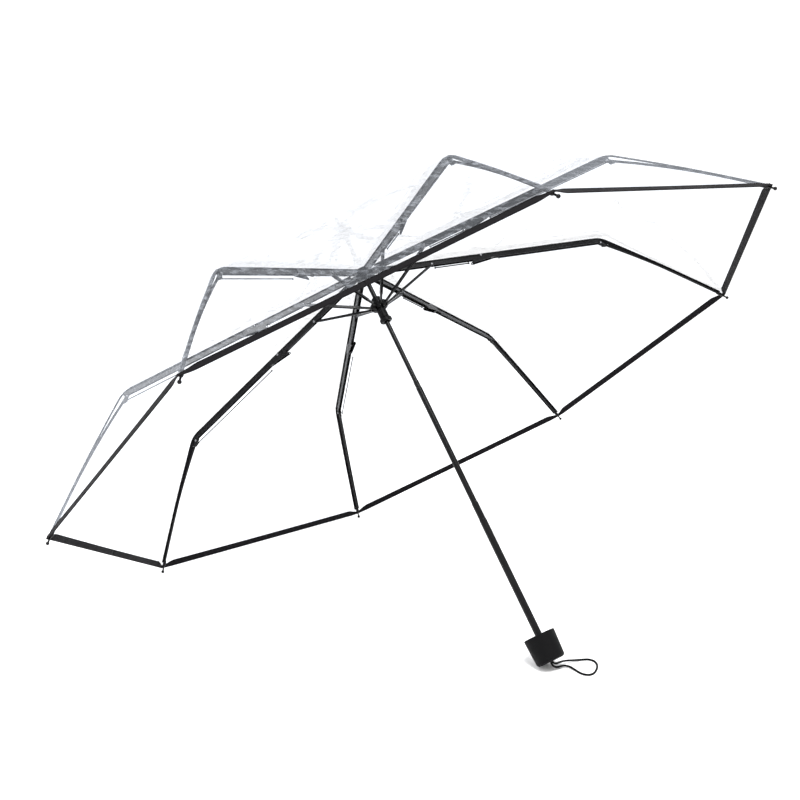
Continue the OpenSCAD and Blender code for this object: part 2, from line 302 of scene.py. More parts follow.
film = {
    "pass": (0.97, 0.975, 0.985),  # what one layer lets through
    "shine": (0.86, 0.91, 1.0),
    "index": 1.45,
    "layers": 0.8,  # a film mirrors from both its faces, but a glancing reflection is dulled
    "mostShine": 0.2,
    "crease": (85, 85, 380),  # creases for each metre, drawn out level
    "creaseHaze": 0.24,  # how milky a crease is
    "haze": 0.008,
    "rough": 0.06,
    "ripple": 0.0004,
    "weld": 0.0036,  # half width of the seam over each rib
    "weldHaze": 0.08,  # how milky the worn seam is
    "weldStep": 0.0013,
}


def clearFilm():
    m, t, shader, place = newMaterial("clear_film")
    m.node_tree.nodes.remove(shader)
    # the seam is a doubled, embossed strip, found from the piece's own UV: across the rib, and along it
    split = t.add("ShaderNodeSeparateXYZ")
    t.feed(split.inputs[0], t.add("ShaderNodeUVMap", uv_map="UVMap").outputs[0])
    across = t.calc("ABSOLUTE", split.outputs[0])
    weld = t.rescale(across, film["weld"] * 0.8, film["weld"] * 1.2, 1.0, 0.0)
    hatch = t.calc("SINE", t.calc("MULTIPLY", split.outputs[1], 2 * math.pi / film["weldStep"]))
    worn = t.rescale(t.noise(place, 130, 5, 0.75), 0.4, 0.62, 0.0, 2.4)
    ripples = t.calc("ADD", t.noise(place, 22, 2, 0.5), t.calc("MULTIPLY", t.noise(place, 120, 2, 0.5), 0.08))
    embossed = t.calc("MULTIPLY", t.calc("MULTIPLY", hatch, weld), 0.12)
    dent = t.add("ShaderNodeBump")
    dent.inputs["Distance"].default_value = film["ripple"]
    t.feed(dent.inputs["Height"], t.calc("ADD", ripples, embossed))
    mirror = t.add("ShaderNodeFresnel")
    mirror.inputs["IOR"].default_value = film["index"]
    t.feed(mirror.inputs["Normal"], dent.outputs[0])
    haze = t.calc("ADD", t.calc("MULTIPLY", t.calc("MULTIPLY", weld, worn), film["weldHaze"]), film["haze"])
    glancing = t.calc("MINIMUM", t.calc("MULTIPLY", mirror.outputs[0], film["layers"]), film["mostShine"])
    creases = t.noise(t.vector("MULTIPLY", place, film["crease"]), 1.0, 4, 0.6)
    creased = t.rescale(creases, 0.48, 0.68, 0.0, 1.0)
    haze = t.calc("ADD", haze, t.calc("MULTIPLY", creased, film["creaseHaze"]))
    share = t.calc("ADD", t.calc("MULTIPLY", glancing, t.calc("SUBTRACT", 1.0, haze)), haze)
    clear = t.add("ShaderNodeBsdfTransparent")
    clear.inputs["Color"].default_value = (*film["pass"], 1)
    gloss = t.add("ShaderNodeBsdfAnisotropic")
    gloss.inputs["Color"].default_value = (*film["shine"], 1)
    gloss.inputs["Roughness"].default_value = film["rough"]
    t.feed(gloss.inputs["Normal"], dent.outputs[0])
    both = t.add("ShaderNodeMixShader")
    t.feed(both.inputs[0], share)
    t.feed(both.inputs[1], clear.outputs[0])
    t.feed(both.inputs[2], gloss.outputs[0])
    t.feed(m.node_tree.nodes["Material Output"].inputs["Surface"], both.outputs[0])
    return m


tape = {"dark": (0.002, 0.0018, 0.0024), "light": (0.007, 0.0062, 0.0075), "threads": 1600, "rough": 0.6,
        "shine": 0.06}


def satinTape():
    # a close plain weave with a soft sheen; the two thread ways are waves along the piece's own UV
    m, t, shader, place = newMaterial("satin_tape")
    uv = t.add("ShaderNodeUVMap", uv_map="UVMap").outputs[0]
    split = t.add("ShaderNodeSeparateXYZ")
    t.feed(split.inputs[0], uv)
    warp = t.calc("SINE", t.calc("MULTIPLY", split.outputs[0], tape["threads"] * 2))
    weft = t.calc("SINE", t.calc("MULTIPLY", split.outputs[1], tape["threads"] * 4))
    weave = t.calc("MULTIPLY", warp, weft)
    tone = t.calc("ADD", t.calc("MULTIPLY", weave, 0.2), t.noise(place, 60, 3, 0.6))
    t.feed(shader.inputs["Base Color"], blendColour(t, tone, tape["dark"], tape["light"]))
    t.feed(shader.inputs["Roughness"], t.rescale(tone, 0.2, 0.9, tape["rough"] * 0.8, tape["rough"] * 1.25))
    shader.inputs["Specular IOR Level"].default_value = tape["shine"]
    bump(t, shader, weave, 0.00008)
    return m


braid = {"dark": (0.0012, 0.0012, 0.0015), "light": (0.005, 0.005, 0.0055), "round": 5, "long": 420}


def braidedCord():
    # two sets of threads crossing round the cord, along its own UV
    m, t, shader, place = newMaterial("braided_cord")
    uv = t.add("ShaderNodeUVMap", uv_map="UVMap").outputs[0]
    split = t.add("ShaderNodeSeparateXYZ")
    t.feed(split.inputs[0], uv)
    around = t.calc("MULTIPLY", split.outputs[0], 2 * math.pi * braid["round"])
    along = t.calc("MULTIPLY", split.outputs[1], 2 * math.pi * braid["long"])
    left = t.calc("ABSOLUTE", t.calc("SINE", t.calc("ADD", around, along)))
    right = t.calc("ABSOLUTE", t.calc("SINE", t.calc("SUBTRACT", around, along)))
    threads = t.calc("MULTIPLY", left, right)
    t.feed(shader.inputs["Base Color"], blendColour(t, threads, braid["dark"], braid["light"]))
    shader.inputs["Roughness"].default_value = 0.7
    shader.inputs["Specular IOR Level"].default_value = 0.1
    shader.inputs["Sheen Weight"].default_value = 0.02
    bump(t, shader, threads, 0.0003)
    return m


ribPaint = blackEnamel("rib_enamel")
tubePaint = blackEnamel("tube_enamel", 1.15)
handlePlastic = mouldedPlastic("soft_touch", 0.62, 0.0001)
hubPlastic = mouldedPlastic("hub_plastic", 0.4)
wireSteel = bareMetal("ring_wire", (0.55, 0.55, 0.56), 0.25)
rodSteel = bareMetal("blackened_wire", (0.03, 0.03, 0.033), 0.35)
rivetSteel = bareMetal("rivet_steel", (0.2, 0.2, 0.21), 0.3)
filmClear = clearFilm()
tapeSatin = satinTape()
cordBraid = braidedCord()
threadBlack = mouldedPlastic("thread", 0.55, 0.0002)
print("materials ready")

cord = {
    "diameter": 0.0025,
    "route": [  # from the plug's hole round the loop and back, in millimetres
        (212.5, 1.4, 11.6), (214.6, 1.5, 9), (216.2, 3.2, 7), (216.6, 7, 6), (216.4, 12, 5.6), (216.6, 18, 5),
        (217.8, 25, 4), (219.8, 32, 2.8), (222.5, 39, 1.9), (225.3, 45.5, 1.4), (229.2, 50.6, 1.3),
        (235.6, 52.2, 1.3), (242.6, 48.8, 1.3), (248.6, 42, 1.3), (253, 34, 1.3), (255.6, 26.2, 1.3),
        (254.2, 19.2, 1.3), (248.4, 15.6, 1.3), (241.2, 16, 1.3), (234.2, 17.2, 1.6), (228, 17.2, 2.3),
        (223.2, 14.2, 2.9), (221.2, 9.4, 3.2), (220.4, 4.6, 3.4), (219, 0.8, 4.4), (216.9, -1.2, 6.3),
        (214.6, -1.4, 9), (212.5, -1.4, 11.6),
    ],
}


def tubeTree():
    t, given, out = geometryTree("cord tube", {
        "Radius": ("Float", 0.001), "Sides": ("Int", 16), "Material": ("Material", None),
    })
    ring = t.add("GeometryNodeCurvePrimitiveCircle")
    t.feed(ring.inputs["Radius"], given.outputs["Radius"])
    t.feed(ring.inputs["Resolution"], given.outputs["Sides"])
    length = t.add("GeometryNodeSplineParameter").outputs["Length"]
    alongCord = t.add("GeometryNodeCaptureAttribute", domain="POINT")
    alongCord.capture_items.new("FLOAT", "along")
    t.feed(alongCord.inputs["Geometry"], given.outputs["Geometry"])
    t.feed(alongCord.inputs[1], length)
    aroundRing = t.add("GeometryNodeCaptureAttribute", domain="POINT")
    aroundRing.capture_items.new("FLOAT", "around")
    t.feed(aroundRing.inputs["Geometry"], ring.outputs[0])
    t.feed(aroundRing.inputs[1], t.add("GeometryNodeSplineParameter").outputs["Factor"])
    skin = t.add("GeometryNodeCurveToMesh")
    t.feed(skin.inputs["Curve"], alongCord.outputs["Geometry"])
    t.feed(skin.inputs["Profile Curve"], aroundRing.outputs["Geometry"])
    skin.inputs["Fill Caps"].default_value = True
    flat = t.add("ShaderNodeCombineXYZ")
    t.feed(flat.inputs[0], aroundRing.outputs[1])
    t.feed(flat.inputs[1], alongCord.outputs[1])
    store = t.add("GeometryNodeStoreNamedAttribute", data_type="FLOAT2", domain="CORNER")
    store.inputs["Name"].default_value = "UVMap"
    t.feed(store.inputs["Geometry"], skin.outputs[0])
    t.feed(store.inputs["Value"], flat.outputs[0])
    solid = t.add("GeometryNodeRealizeInstances")
    t.feed(solid.inputs[0], store.outputs[0])
    paint = t.add("GeometryNodeSetMaterial")
    t.feed(paint.inputs["Geometry"], solid.outputs[0])
    t.feed(paint.inputs["Material"], given.outputs["Material"])
    t.feed(out.inputs[0], paint.outputs[0])
    return t.tree


def makeCord():
    line = smoothCurve([Vector(p) / 1000 for p in cord["route"]], 6)
    mesh = bake(pathObject(line), tubeTree(), {
        "Radius": cord["diameter"] / 2, "Sides": 16, "Material": cordBraid,
    }, "wrist_loop")
    mesh.shade_smooth()
    loop = pieceFrom(mesh, "wrist_loop", cordBraid)
    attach(loop, "grip")
    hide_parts("wrist_cord")


makeCord()

canopy = {
    "rows": 150,  # along an arm
    "columns": 64,  # across an arm, from one gore's middle to the next one's
    "crowd": 1.5,  # how much closer the columns stand beside a rib
    "kneeRound": 0.010,  # how far the fold at the knee is rounded along the rib
    "kneeSoft": 0.004,  # how much lower the fold is in the middle of a gore
    "kneeWidth": 0.035,
    "bowDrop": 0.0007,  # how much closer the film hugs the outer rib's bow than the plain skin
    "dip": 0.0025,  # how far a gore's middle is pulled in
    "calm": 0.05,  # from this far the taut hem flattens the dip and the waves
    "wave": 0.0016,
    "waveSize": 7.0,
    "pleat": 0.0011,
    "pucker": 0.0005,
    "puckerSize": 60.0,
    "seed": 7.0,
    "tapeMiddle": 0.0006,  # from the tape's outer face to the film in its fold
    "reach": 0.0025,  # how much further out the sewn hem sits than the plain skin's
}


def ringsOf(node, i):
    # the rings of a canopy node on one arm's own plane, as (distance, height), from the shaft outwards
    found = {}
    for v in frame["nodes"][node].data.vertices:
        p = inArm(i, v.co)
        if abs(p.y) < 0.0004 and p.x > 0:
            found[round(p.x, 4)] = max(p.z, found.get(round(p.x, 4), -9))
    return [Vector((r, 0, z)) for r, z in sorted(found.items())]


def filmLine():
    middle, bend, bow = ringsOf("canopy_film", 1)[:3]
    inner, edge = ringsOf("hem_tape", 1)
    way = (edge - inner).normalized()
    bow.z -= canopy["bowDrop"]
    hem = edge - Vector((-way.z, 0, way.x)) * canopy["tapeMiddle"] + way * canopy["reach"]
    before = bend + (middle - bend).normalized() * canopy["kneeRound"]
    after = bend + (bow - bend).normalized() * canopy["kneeRound"]
    straight = [middle + (before - middle) * (k / 12) for k in range(12)]
    turn = [before.lerp(bend, u).lerp(bend.lerp(after, u), u) for u in (k / 6 for k in range(6))]
    lower = smoothCurve([after, bow, hem], 8)
    return straight + turn + lower, bend


ribLine, bendPoint = filmLine()


def lengths(line):
    total = [0.0]
    for a, b in zip(line, line[1:]):
        total.append(total[-1] + (b - a).length)
    return total


def lineAt(line, far):
    total = lengths(line)
    for k in range(len(line) - 1):
        if total[k + 1] >= far:
            return line[k].lerp(line[k + 1], (far - total[k]) / max(total[k + 1] - total[k], 1e-9))
    return line[-1].copy()


filmLength = lengths(ribLine)[-1]
kneeAlong = min(range(len(ribLine)), key=lambda k: (ribLine[k] - bendPoint).length)
kneeFar = lengths(ribLine)[kneeAlong]
elbowFar = inArm(1, jointPoint("elbow_1_hinge")).x - ribLine[0].x


def goreTree():
    # a strip of film across one arm, from the middle of one gore to the middle of the next
    t, given, out = geometryTree("gore strip", {
        "Rows": ("Int", 150), "Columns": ("Int", 48), "Crowd": ("Float", 1.5),
        "Half Turn": ("Float", halfStep), "Arm Turn": ("Float", 0.0),
        "Line Start": ("Float", 0.0), "Line Length": ("Float", 0.5), "Hem Point": ("Vector", None),
        "Knee Radius": ("Float", 0.34), "Knee Soft": ("Float", 0.007), "Knee Width": ("Float", 0.035),
        "Dip": ("Float", 0.006), "Calm": ("Float", 0.05),
        "Wave": ("Float", 0.003), "Wave Size": ("Float", 9.0),
        "Pleat": ("Float", 0.0016), "Pucker": ("Float", 0.0011), "Pucker Size": ("Float", 60.0),
        "Tape Width": ("Float", 0.008), "Hang In": ("Float", 0.0), "Hang Down": ("Float", 0.0),
        "Pinch": ("Float", 1.0), "Pinch Width": ("Float", 0.1), "Half Width": ("Float", 10.0),
        "Seed": ("Float", 0.0), "Material": ("Material", None),
    })
    g = given.outputs
    rows = t.add("GeometryNodeResampleCurve")
    t.feed(rows.inputs["Curve"], g["Geometry"])
    t.feed(rows.inputs["Count"], g["Rows"])
    rib = t.add("GeometryNodeCaptureAttribute", domain="POINT")
    rib.capture_items.new("VECTOR", "place")
    rib.capture_items.new("FLOAT", "along")
    t.feed(rib.inputs["Geometry"], rows.outputs[0])
    t.feed(rib.inputs[1], t.add("GeometryNodeInputPosition").outputs[0])
    t.feed(rib.inputs[2], t.add("GeometryNodeSplineParameter").outputs["Length"])
    width = t.add("GeometryNodeCurvePrimitiveLine")
    width.inputs["Start"].default_value = (-1, 0, 0)
    width.inputs["End"].default_value = (1, 0, 0)
    columns = t.add("GeometryNodeResampleCurve")
    t.feed(columns.inputs["Curve"], width.outputs[0])
    t.feed(columns.inputs["Count"], t.calc("ADD", g["Columns"], 1.0))
    cross = t.add("GeometryNodeCaptureAttribute", domain="POINT")
    cross.capture_items.new("VECTOR", "side")
    t.feed(cross.inputs["Geometry"], columns.outputs[0])
    t.feed(cross.inputs[1], t.add("GeometryNodeInputPosition").outputs[0])
    strip = t.add("GeometryNodeCurveToMesh")
    t.feed(strip.inputs["Curve"], rib.outputs["Geometry"])
    t.feed(strip.inputs["Profile Curve"], cross.outputs["Geometry"])
    along = t.calc("ADD", rib.outputs[2], g["Line Start"])
    sideXyz = t.add("ShaderNodeSeparateXYZ")
    t.feed(sideXyz.inputs[0], cross.outputs[1])
    share = t.calc("POWER", t.calc("ABSOLUTE", sideXyz.outputs[0]), g["Crowd"])
    side = t.calc("MULTIPLY", t.calc("SIGN", sideXyz.outputs[0]), share)
    # the hem tape is pinched narrow where it is sewn to a tip
    apart = t.add("ShaderNodeMapRange", interpolation_type="SMOOTHSTEP")
    t.feed(apart.inputs["Value"], share)
    t.feed(apart.inputs["From Max"], g["Pinch Width"])
    together = t.calc("SUBTRACT", 1.0, apart.outputs[0])
    narrow = t.calc("MULTIPLY", t.calc("SUBTRACT", 1.0, g["Pinch"]), together)
    place = t.add("ShaderNodeMix", data_type="VECTOR")
    t.feed(place.inputs["Factor"], narrow)
    t.feed(place.inputs["A"], rib.outputs[1])
    t.feed(place.inputs["B"], g["Hem Point"])
    toHem = t.calc("MULTIPLY", t.calc("SUBTRACT", g["Line Length"], along), t.calc("SUBTRACT", 1.0, narrow))
    slack = t.calc("DIVIDE", t.calc("MULTIPLY", toHem, -1.0), g["Calm"])
    taut = t.calc("SUBTRACT", 1.0, t.calc("EXPONENT", slack))
    xyz = t.add("ShaderNodeSeparateXYZ")
    t.feed(xyz.inputs[0], place.outputs["Result"])
    radius, height = xyz.outputs[0], xyz.outputs[2]
    # the chord between two arms
    sine, cosine = t.calc("SINE", g["Half Turn"]), t.calc("COSINE", g["Half Turn"])
    most = t.calc("DIVIDE", g["Half Width"], t.calc("MULTIPLY", radius, t.calc("MULTIPLY", sine, cosine)))
    most = t.calc("MINIMUM", most, 1.0)
    share, side = t.calc("MULTIPLY", share, most), t.calc("MULTIPLY", side, most)
    drawnIn = t.calc("MULTIPLY", share, t.calc("MULTIPLY", sine, sine))
    x = t.calc("MULTIPLY", radius, t.calc("SUBTRACT", 1.0, drawnIn))
    y = t.calc("MULTIPLY", radius, t.calc("MULTIPLY", side, t.calc("MULTIPLY", sine, cosine)))
    # the fold at the knee is softer away from the rib, and the gore's middle is pulled in
    fromKnee = t.calc("DIVIDE", t.calc("SUBTRACT", radius, g["Knee Radius"]), g["Knee Width"])
    bell = t.calc("EXPONENT", t.calc("MULTIPLY", t.calc("MULTIPLY", fromKnee, fromKnee), -1.0))
    fold = t.calc("MULTIPLY", t.calc("MULTIPLY", bell, share), g["Knee Soft"])
    sag = t.calc("MULTIPLY", t.calc("MULTIPLY", share, t.calc("SUBTRACT", 2.0, share)),
                 t.calc("MULTIPLY", g["Dip"], t.calc("DIVIDE", radius, g["Knee Radius"])))
    # one common frame for the noise, so that neighbouring strips meet
    joined = t.add("ShaderNodeCombineXYZ")
    t.feed(joined.inputs[0], x)
    t.feed(joined.inputs[1], y)
    t.feed(joined.inputs[2], height)
    common = t.add("ShaderNodeVectorRotate", rotation_type="Z_AXIS")
    t.feed(common.inputs["Vector"], joined.outputs[0])
    t.feed(common.inputs["Angle"], g["Arm Turn"])
    shifted = t.add("ShaderNodeVectorMath", operation="ADD")
    t.feed(shifted.inputs[0], common.outputs[0])
    t.feed(shifted.inputs[1], g["Seed"])
    where = shifted.outputs[0]
    wave = t.calc("MULTIPLY", t.calc("SUBTRACT", t.noise(where, g["Wave Size"], 3), 0.5), g["Wave"])
    wave = t.calc("MULTIPLY", wave, t.calc("MULTIPLY", share, 2.0))
    # pleats run out from the crown, as the film is gathered under the cap
    turned = t.add("ShaderNodeVectorMath", operation="NORMALIZE")
    flat = t.add("ShaderNodeSeparateXYZ")
    t.feed(flat.inputs[0], common.outputs[0])
    level = t.add("ShaderNodeCombineXYZ")
    t.feed(level.inputs[0], flat.outputs[0])
    t.feed(level.inputs[1], flat.outputs[1])
    t.feed(turned.inputs[0], level.outputs[0])
    drift = t.vector("SCALE", level.outputs[0], 2.0)
    rays = t.vector("ADD", t.vector("SCALE", turned.outputs[0], 4.5), drift)
    fade = t.calc("EXPONENT", t.calc("MULTIPLY", radius, -14.0))
    start = t.rescale(radius, 0.006, 0.03, 0.0, 1.0)
    pleat = t.calc("SUBTRACT", t.noise(rays, 1.6, 2), 0.5)
    pleat = t.calc("MULTIPLY", pleat, t.calc("MULTIPLY", g["Pleat"], 2.0))
    pleat = t.calc("MULTIPLY", t.calc("MULTIPLY", pleat, fade), start)
    # puckers cross the seam on each rib
    nearSeam = t.calc("EXPONENT", t.calc("MULTIPLY", t.calc("ABSOLUTE", y), -55.0))
    ticks = t.add("ShaderNodeCombineXYZ")
    t.feed(ticks.inputs[0], t.calc("ADD", along, t.calc("MULTIPLY", t.calc("ABSOLUTE", y), 0.7)))
    t.feed(ticks.inputs[1], g["Arm Turn"])
    t.feed(ticks.inputs[2], t.calc("MULTIPLY", side, 0.02))
    pucker = t.calc("SUBTRACT", t.noise(ticks.outputs[0], g["Pucker Size"], 2), 0.42)
    pucker = t.calc("MULTIPLY", pucker, g["Pucker"])
    pucker = t.calc("MULTIPLY", t.calc("MULTIPLY", pucker, nearSeam), start)
    lift = t.calc("SUBTRACT", t.calc("ADD", t.calc("ADD", wave, pleat), pucker), sag)
    z = t.calc("SUBTRACT", t.calc("ADD", height, t.calc("MULTIPLY", lift, taut)), fold)
    # past the tape's inner edge the hem hangs steeper than the film
    past = t.calc("MAXIMUM", t.calc("SUBTRACT", g["Tape Width"], toHem), 0.0)
    past = t.calc("MULTIPLY", past, apart.outputs[0])
    pulled = t.calc("MULTIPLY", past, g["Hang In"])
    z = t.calc("SUBTRACT", z, t.calc("MULTIPLY", past, g["Hang Down"]))
    sideways = t.calc("MULTIPLY", t.calc("MULTIPLY", pulled, sine), t.calc("SIGN", side))
    final = t.add("ShaderNodeCombineXYZ")
    t.feed(final.inputs[0], t.calc("SUBTRACT", x, t.calc("MULTIPLY", pulled, cosine)))
    t.feed(final.inputs[1], t.calc("SUBTRACT", y, sideways))
    t.feed(final.inputs[2], z)
    move = t.add("GeometryNodeSetPosition")
    t.feed(move.inputs["Geometry"], strip.outputs[0])
    t.feed(move.inputs["Position"], final.outputs[0])
    flatPlace = t.add("ShaderNodeCombineXYZ")
    t.feed(flatPlace.inputs[0], y)
    t.feed(flatPlace.inputs[1], along)
    store = t.add("GeometryNodeStoreNamedAttribute", data_type="FLOAT2", domain="CORNER")
    store.inputs["Name"].default_value = "UVMap"
    t.feed(store.inputs["Geometry"], move.outputs[0])
    t.feed(store.inputs["Value"], flatPlace.outputs[0])
    solid = t.add("GeometryNodeRealizeInstances")
    t.feed(solid.inputs[0], store.outputs[0])
    paint = t.add("GeometryNodeSetMaterial")
    t.feed(paint.inputs["Geometry"], solid.outputs[0])
    t.feed(paint.inputs["Material"], g["Material"])
    t.feed(out.inputs[0], paint.outputs[0])
    return t.tree


goreStrip = goreTree()
hem = {
    "width": 0.009,
    "thick": 0.0011,
    "rows": 10,
    "overlap": 0.005,  # how far the film reaches into the tape's fold
    "hangIn": 0.17,  # how much the tape turns in from the film, for each metre of width
    "hangDown": 0.11,
    "pinch": 0.5,  # the tape's share of its width at a tip
    "pinchWidth": 0.1,  # how far along the gore the pinch lasts
    "stitchIn": 0.0014,
    "stitchStep": 0.0042,
    "stitchLong": 0.0028,
    "stitchThick": 0.00045,
}


def linePart(start, end, steps):
    return [lineAt(ribLine, start + (end - start) * k / steps) for k in range(steps + 1)]


def stripMesh(i, line, start, rows, pinch, material, name, columns=canopy["columns"], halfWidth=10.0):
    mesh = bake(pathObject(line), goreStrip, {
        "Rows": rows, "Columns": columns, "Crowd": canopy["crowd"], "Half Width": halfWidth,
        "Half Turn": halfStep, "Arm Turn": 2 * halfStep * i,
        "Line Start": start, "Line Length": filmLength, "Hem Point": ribLine[-1],
        "Knee Radius": bendPoint.x, "Knee Soft": canopy["kneeSoft"], "Knee Width": canopy["kneeWidth"],
        "Dip": canopy["dip"], "Calm": canopy["calm"], "Wave": canopy["wave"], "Wave Size": canopy["waveSize"],
        "Pleat": canopy["pleat"], "Pucker": canopy["pucker"], "Pucker Size": canopy["puckerSize"],
        "Tape Width": hem["width"], "Hang In": hem["hangIn"], "Hang Down": hem["hangDown"],
        "Pinch": pinch, "Pinch Width": hem["pinchWidth"], "Seed": canopy["seed"], "Material": material,
    }, name)
    mesh.transform(armPlaces[i])
    return mesh


def joinStrips(meshes):
    # one mesh of all the strips, merged where they meet, facing outwards
    work = bmesh.new()
    for mesh in meshes:
        work.from_mesh(mesh)
        bpy.data.meshes.remove(mesh)
    bmesh.ops.remove_doubles(work, verts=work.verts, dist=0.00002)
    bmesh.ops.dissolve_degenerate(work, edges=work.edges, dist=0.000001)
    work.normal_update()
    if sum(f.normal.dot(shaftUp) * f.calc_area() for f in work.faces) < 0:
        bmesh.ops.reverse_faces(work, faces=work.faces)
        work.normal_update()
    return work


def armOf(point):
    return max(range(1, arms + 1), key=lambda i: inArm(i, point).x)


def cutOut(work, chosen, name):
    # the chosen faces as a mesh of their own, shaded as they were in the whole
    uv = work.loops.layers.uv.get("UVMap")
    index, verts, normals, faces, uvs = {}, [], [], [], []
    for f in chosen:
        row = []
        for loop in f.loops:
            v = loop.vert
            if v not in index:
                index[v] = len(verts)
                verts.append(v.co.copy())
                normals.append(v.normal.copy())
            row.append(index[v])
            uvs.append(loop[uv].uv.copy() if uv else (0, 0))
        faces.append(row)
    mesh = bpy.data.meshes.new(name)
    mesh.from_pydata(verts, [], faces)
    layer = mesh.uv_layers.new(name="UVMap")
    for k, value in enumerate(uvs):
        layer.data[k].uv = value
    mesh.shade_smooth()
    mesh.normals_split_custom_set_from_vertices(normals)
    return mesh


def sideOf(i, point):
    return 1 if inArm(i, point).y > 0 else -1


def foldWith(piece, i, start, end):
    # gives a piece its own copy of its mesh; the two ends of its stretch along the rib are worked out but not
    # used
    near, far = (armPlaces[i] @ lineAt(ribLine, at) for at in (start, min(end, filmLength)))
    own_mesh(piece)


regions = [("top", "top_rib", 0.0, elbowFar), ("middle", "mid_rib", elbowFar, kneeFar),
           ("outer", "outer_rib", kneeFar, filmLength + 1)]
sides = {-1: "left", 1: "right"}
sewnOn = {(i, region[0], side): [] for i in range(1, arms + 1) for region in regions for side in sides}


def makeFilm():
    cut = filmLength - hem["width"] + hem["overlap"]
    line = [p for p, far in zip(ribLine, lengths(ribLine)) if far < cut] + [lineAt(ribLine, cut)]
    work = joinStrips([stripMesh(i, line, 0.0, canopy["rows"], 1.0, filmClear, f"strip{i}")
                       for i in range(1, arms + 1)])
    uv = work.loops.layers.uv.get("UVMap")
    groups = {}
    for f in work.faces:
        along = sum(loop[uv].uv.y for loop in f.loops) / len(f.loops)
        region = next(k for k, r in enumerate(regions) if along < r[3])
        middle = f.calc_center_median()
        i = armOf(middle)
        groups.setdefault((i, region, sideOf(i, middle)), []).append(f)
    for (i, k, side), chosen in sorted(groups.items(), key=lambda item: item[0]):
        label, rib, start, end = regions[k]
        end = min(end, cut)
        name = f"film_{label}_{i}_{sides[side]}"
        piece = pieceFrom(cutOut(work, chosen, name), name, filmClear)
        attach(piece, f"{rib}_{i}_body")
        foldWith(piece, i, start, end)
        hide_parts("canopy_film")
        spans = [math.sin(halfStep) * lineAt(ribLine, far).x for far in (start, end)]
    work.free()
    print(f"film of {arms} gores, {filmLength * 1000:.0f} mm long")


def stitchTree():
    t, given, out = geometryTree("stitch row", {
        "Step": ("Float", 0.004), "Length": ("Float", 0.003), "Thickness": ("Float", 0.0005),
        "Material": ("Material", None),
    })
    g = given.outputs
    row = t.add("GeometryNodeResampleCurve", mode="LENGTH")
    t.feed(row.inputs["Curve"], g["Geometry"])
    t.feed(row.inputs["Length"], g["Step"])
    thread = t.add("GeometryNodeMeshUVSphere")
    thread.inputs["Segments"].default_value = 6
    thread.inputs["Rings"].default_value = 4
    thread.inputs["Radius"].default_value = 0.5
    ahead = t.add("FunctionNodeAlignRotationToVector", axis="Z")
    t.feed(ahead.inputs["Vector"], t.add("GeometryNodeInputTangent").outputs[0])
    size = t.add("ShaderNodeCombineXYZ")
    t.feed(size.inputs[0], g["Thickness"])
    t.feed(size.inputs[1], g["Thickness"])
    t.feed(size.inputs[2], g["Length"])
    place = t.add("GeometryNodeInstanceOnPoints")
    t.feed(place.inputs["Points"], row.outputs[0])
    t.feed(place.inputs["Instance"], thread.outputs[0])
    t.feed(place.inputs["Rotation"], ahead.outputs[0])
    t.feed(place.inputs["Scale"], size.outputs[0])
    solid = t.add("GeometryNodeRealizeInstances")
    t.feed(solid.inputs[0], place.outputs[0])
    paint = t.add("GeometryNodeSetMaterial")
    t.feed(paint.inputs["Geometry"], solid.outputs[0])
    t.feed(paint.inputs["Material"], g["Material"])
    t.feed(out.inputs[0], paint.outputs[0])
    return t.tree


def makeHem():
    start = filmLength - hem["width"]
    line = linePart(start, filmLength, hem["rows"] - 1)
    stitches = stitchTree()
    for i in range(1, arms + 1):
        work = joinStrips([stripMesh(i, line, start, hem["rows"], hem["pinch"], tapeSatin, f"hem_tape_{i}")])
        uv = work.loops.layers.uv.get("UVMap")
        near = hem["width"] / (hem["rows"] - 1) * 0.5
        above = hem["thick"] * 0.55
        for side, word in sides.items():
            half = [f for f in work.faces if sideOf(i, f.calc_center_median()) == side]
            sewn = [loop for f in half for loop in f.loops
                    if abs(loop[uv].uv.y - start - hem["stitchIn"]) < near]
            row = sorted({(round(loop[uv].uv.x, 5), tuple(loop.vert.co + loop.vert.normal * above))
                          for loop in sewn})
            piece = pieceFrom(cutOut(work, half, f"hem_tape_{i}_{word}"), f"hem_tape_{i}_{word}", tapeSatin)
            wall = piece.modifiers.new("thick", "SOLIDIFY")
            wall.thickness, wall.offset = hem["thick"], 0
            soft = piece.modifiers.new("edge", "BEVEL")
            soft.width, soft.segments, soft.limit_method = hem["thick"] * 0.3, 2, "ANGLE"
            graph = bpy.context.evaluated_depsgraph_get()
            solid = bpy.data.meshes.new_from_object(piece.evaluated_get(graph), depsgraph=graph)
            piece.modifiers.clear()
            piece.data = solid
            solid.shade_smooth()
            solid.set_sharp_from_angle(angle=math.radians(60))
            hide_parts("hem_tape")
            name = f"hem_stitches_{i}_{word}"
            thread = pieceFrom(bake(pathObject([co for _, co in row]), stitches, {
                "Step": hem["stitchStep"], "Length": hem["stitchLong"], "Thickness": hem["stitchThick"],
                "Material": threadBlack,
            }, name), name, threadBlack)
            thread.data.shade_smooth()
            for part in (piece, thread):
                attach(part, f"outer_rib_{i}_body")
                foldWith(part, i, kneeFar, filmLength)
                sewnOn[i, "outer", side].append(part)
        work.free()
    print("hem tape sewn on")


makeHem()

edging = {
    "halfWidth": 0.0042,
    "gap": 0.0004,  # below the film
    "rowLength": 0.0035,
    "columns": 10,
    "start": 0.014,  # from the crown
    "end": 0.009,  # from the hem
    "folded": 0.4,
}


